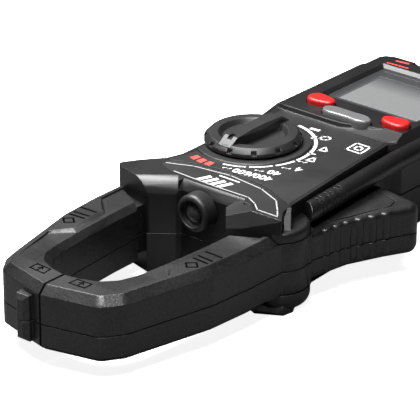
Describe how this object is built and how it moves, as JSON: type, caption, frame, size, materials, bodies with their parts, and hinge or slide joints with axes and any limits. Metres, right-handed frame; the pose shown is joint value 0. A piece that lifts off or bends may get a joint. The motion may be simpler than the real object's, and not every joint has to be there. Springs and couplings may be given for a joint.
{
  "type": "clamp meter",
  "caption": "Handheld clamp meter with split current jaws, a side trigger lever, rotary selector, display, push buttons, lamp and two plug sockets.",
  "frame": {"origin": "centre of the flat back face, half way along the body's resting face", "axes": "+Z out of the display, -Y towards the jaw tips, +Y towards the plug sockets, +X towards the trigger"},
  "size_m": [0.0726, 0.1908, 0.0348],
  "materials": {
    "housing_plastic": "fine spark-eroded matte black ABS",
    "jaw_plastic": "fine spark-eroded matte black, slightly greyer on the top faces",
    "grip_rubber": "smooth black overmoulded rubber",
    "faceplate_print": "charcoal printed faceplate with white dial marks",
    "clear_lens": "clear polished window",
    "lcd_glass": "grey reflective liquid crystal",
    "red_plastic": "bright red satin",
    "button_plastic": "polished black",
    "knob_plastic": "semi-gloss black",
    "steel": "zinc plated",
    "core_steel": "stacked silicon-steel laminations",
    "copper_wire": "enamelled copper winding",
    "board_laminate": "green solder mask",
    "chip_epoxy": "black epoxy",
    "jack_brass": "turned",
    "jack_red": "red socket collar",
    "cell_jacket": "printed sleeve",
    "lamp_plastic": "semi-gloss black",
    "led_epoxy": "clear epoxy"
  },
  "bodies": {
    "root_case": {"battery_cell_1": "cell_jacket", "battery_cell_2": "cell_jacket", "battery_contacts": "steel", "battery_cover": "housing_plastic", "battery_tray": "housing_plastic", "button_pad": "grip_rubber", "buzzer": "chip_epoxy", "cover_screw": "steel", "dial_faceplate": "faceplate_print", "fixed_jaw_coil": "copper_wire", "fixed_jaw_core": "core_steel", "fixed_jaw_lower": "jaw_plastic", "fixed_jaw_upper": "jaw_plastic", "front_band": "faceplate_print", "front_housing": "housing_plastic", "grip_rail_left": "grip_rubber", "grip_rail_right": "grip_rubber", "housing_screws": "steel", "input_jack_com": "jack_brass", "input_jack_volt": "jack_brass", "jack_shroud_com": "housing_plastic", "jack_shroud_volt": "jack_red", "knob_collar": "knob_plastic", "lamp_body": "lamp_plastic", "lamp_led": "led_epoxy", "lamp_lens": "clear_lens", "lcd_lens": "clear_lens", "lcd_module": "lcd_glass", "main_board": "board_laminate", "main_chip": "chip_epoxy", "pivot_pin": "steel", "rear_housing": "housing_plastic", "return_spring": "steel"},
    "jaw_lever": {"moving_jaw_coil": "copper_wire", "moving_jaw_core": "core_steel", "moving_jaw_lower": "jaw_plastic", "moving_jaw_upper": "jaw_plastic"},
    "selector": {"rotary_knob": "knob_plastic", "switch_rotor": "housing_plastic", "wiper_contacts": "steel"},
    "key_red_left": {"button_red_left": "red_plastic"},
    "key_red_right": {"button_red_right": "red_plastic"},
    "key_wide": {"button_wide": "button_plastic"}
  },
  "joints": [
    {"name": "jaw_open", "type": "hinge", "parent": "root_case", "child": "jaw_lever", "pos_m": [0.023, -0.0548, 0.013], "axis": [0, 0, 1], "range_deg": [0, 22]},
    {"name": "selector_turn", "type": "hinge", "parent": "root_case", "child": "selector", "pos_m": [-0.0105, -0.0245, 0.033], "axis": [0, 0, 1], "range_deg": [0, 210]},
    {"name": "press_red_left", "type": "slide", "parent": "root_case", "child": "key_red_left", "axis": [0, 0, -1], "range_m": [0, 0.001]},
    {"name": "press_red_right", "type": "slide", "parent": "root_case", "child": "key_red_right", "axis": [0, 0, -1], "range_m": [0, 0.001]},
    {"name": "press_wide", "type": "slide", "parent": "root_case", "child": "key_wide", "axis": [0, 0, -1], "range_m": [0, 0.001]}
  ]
}
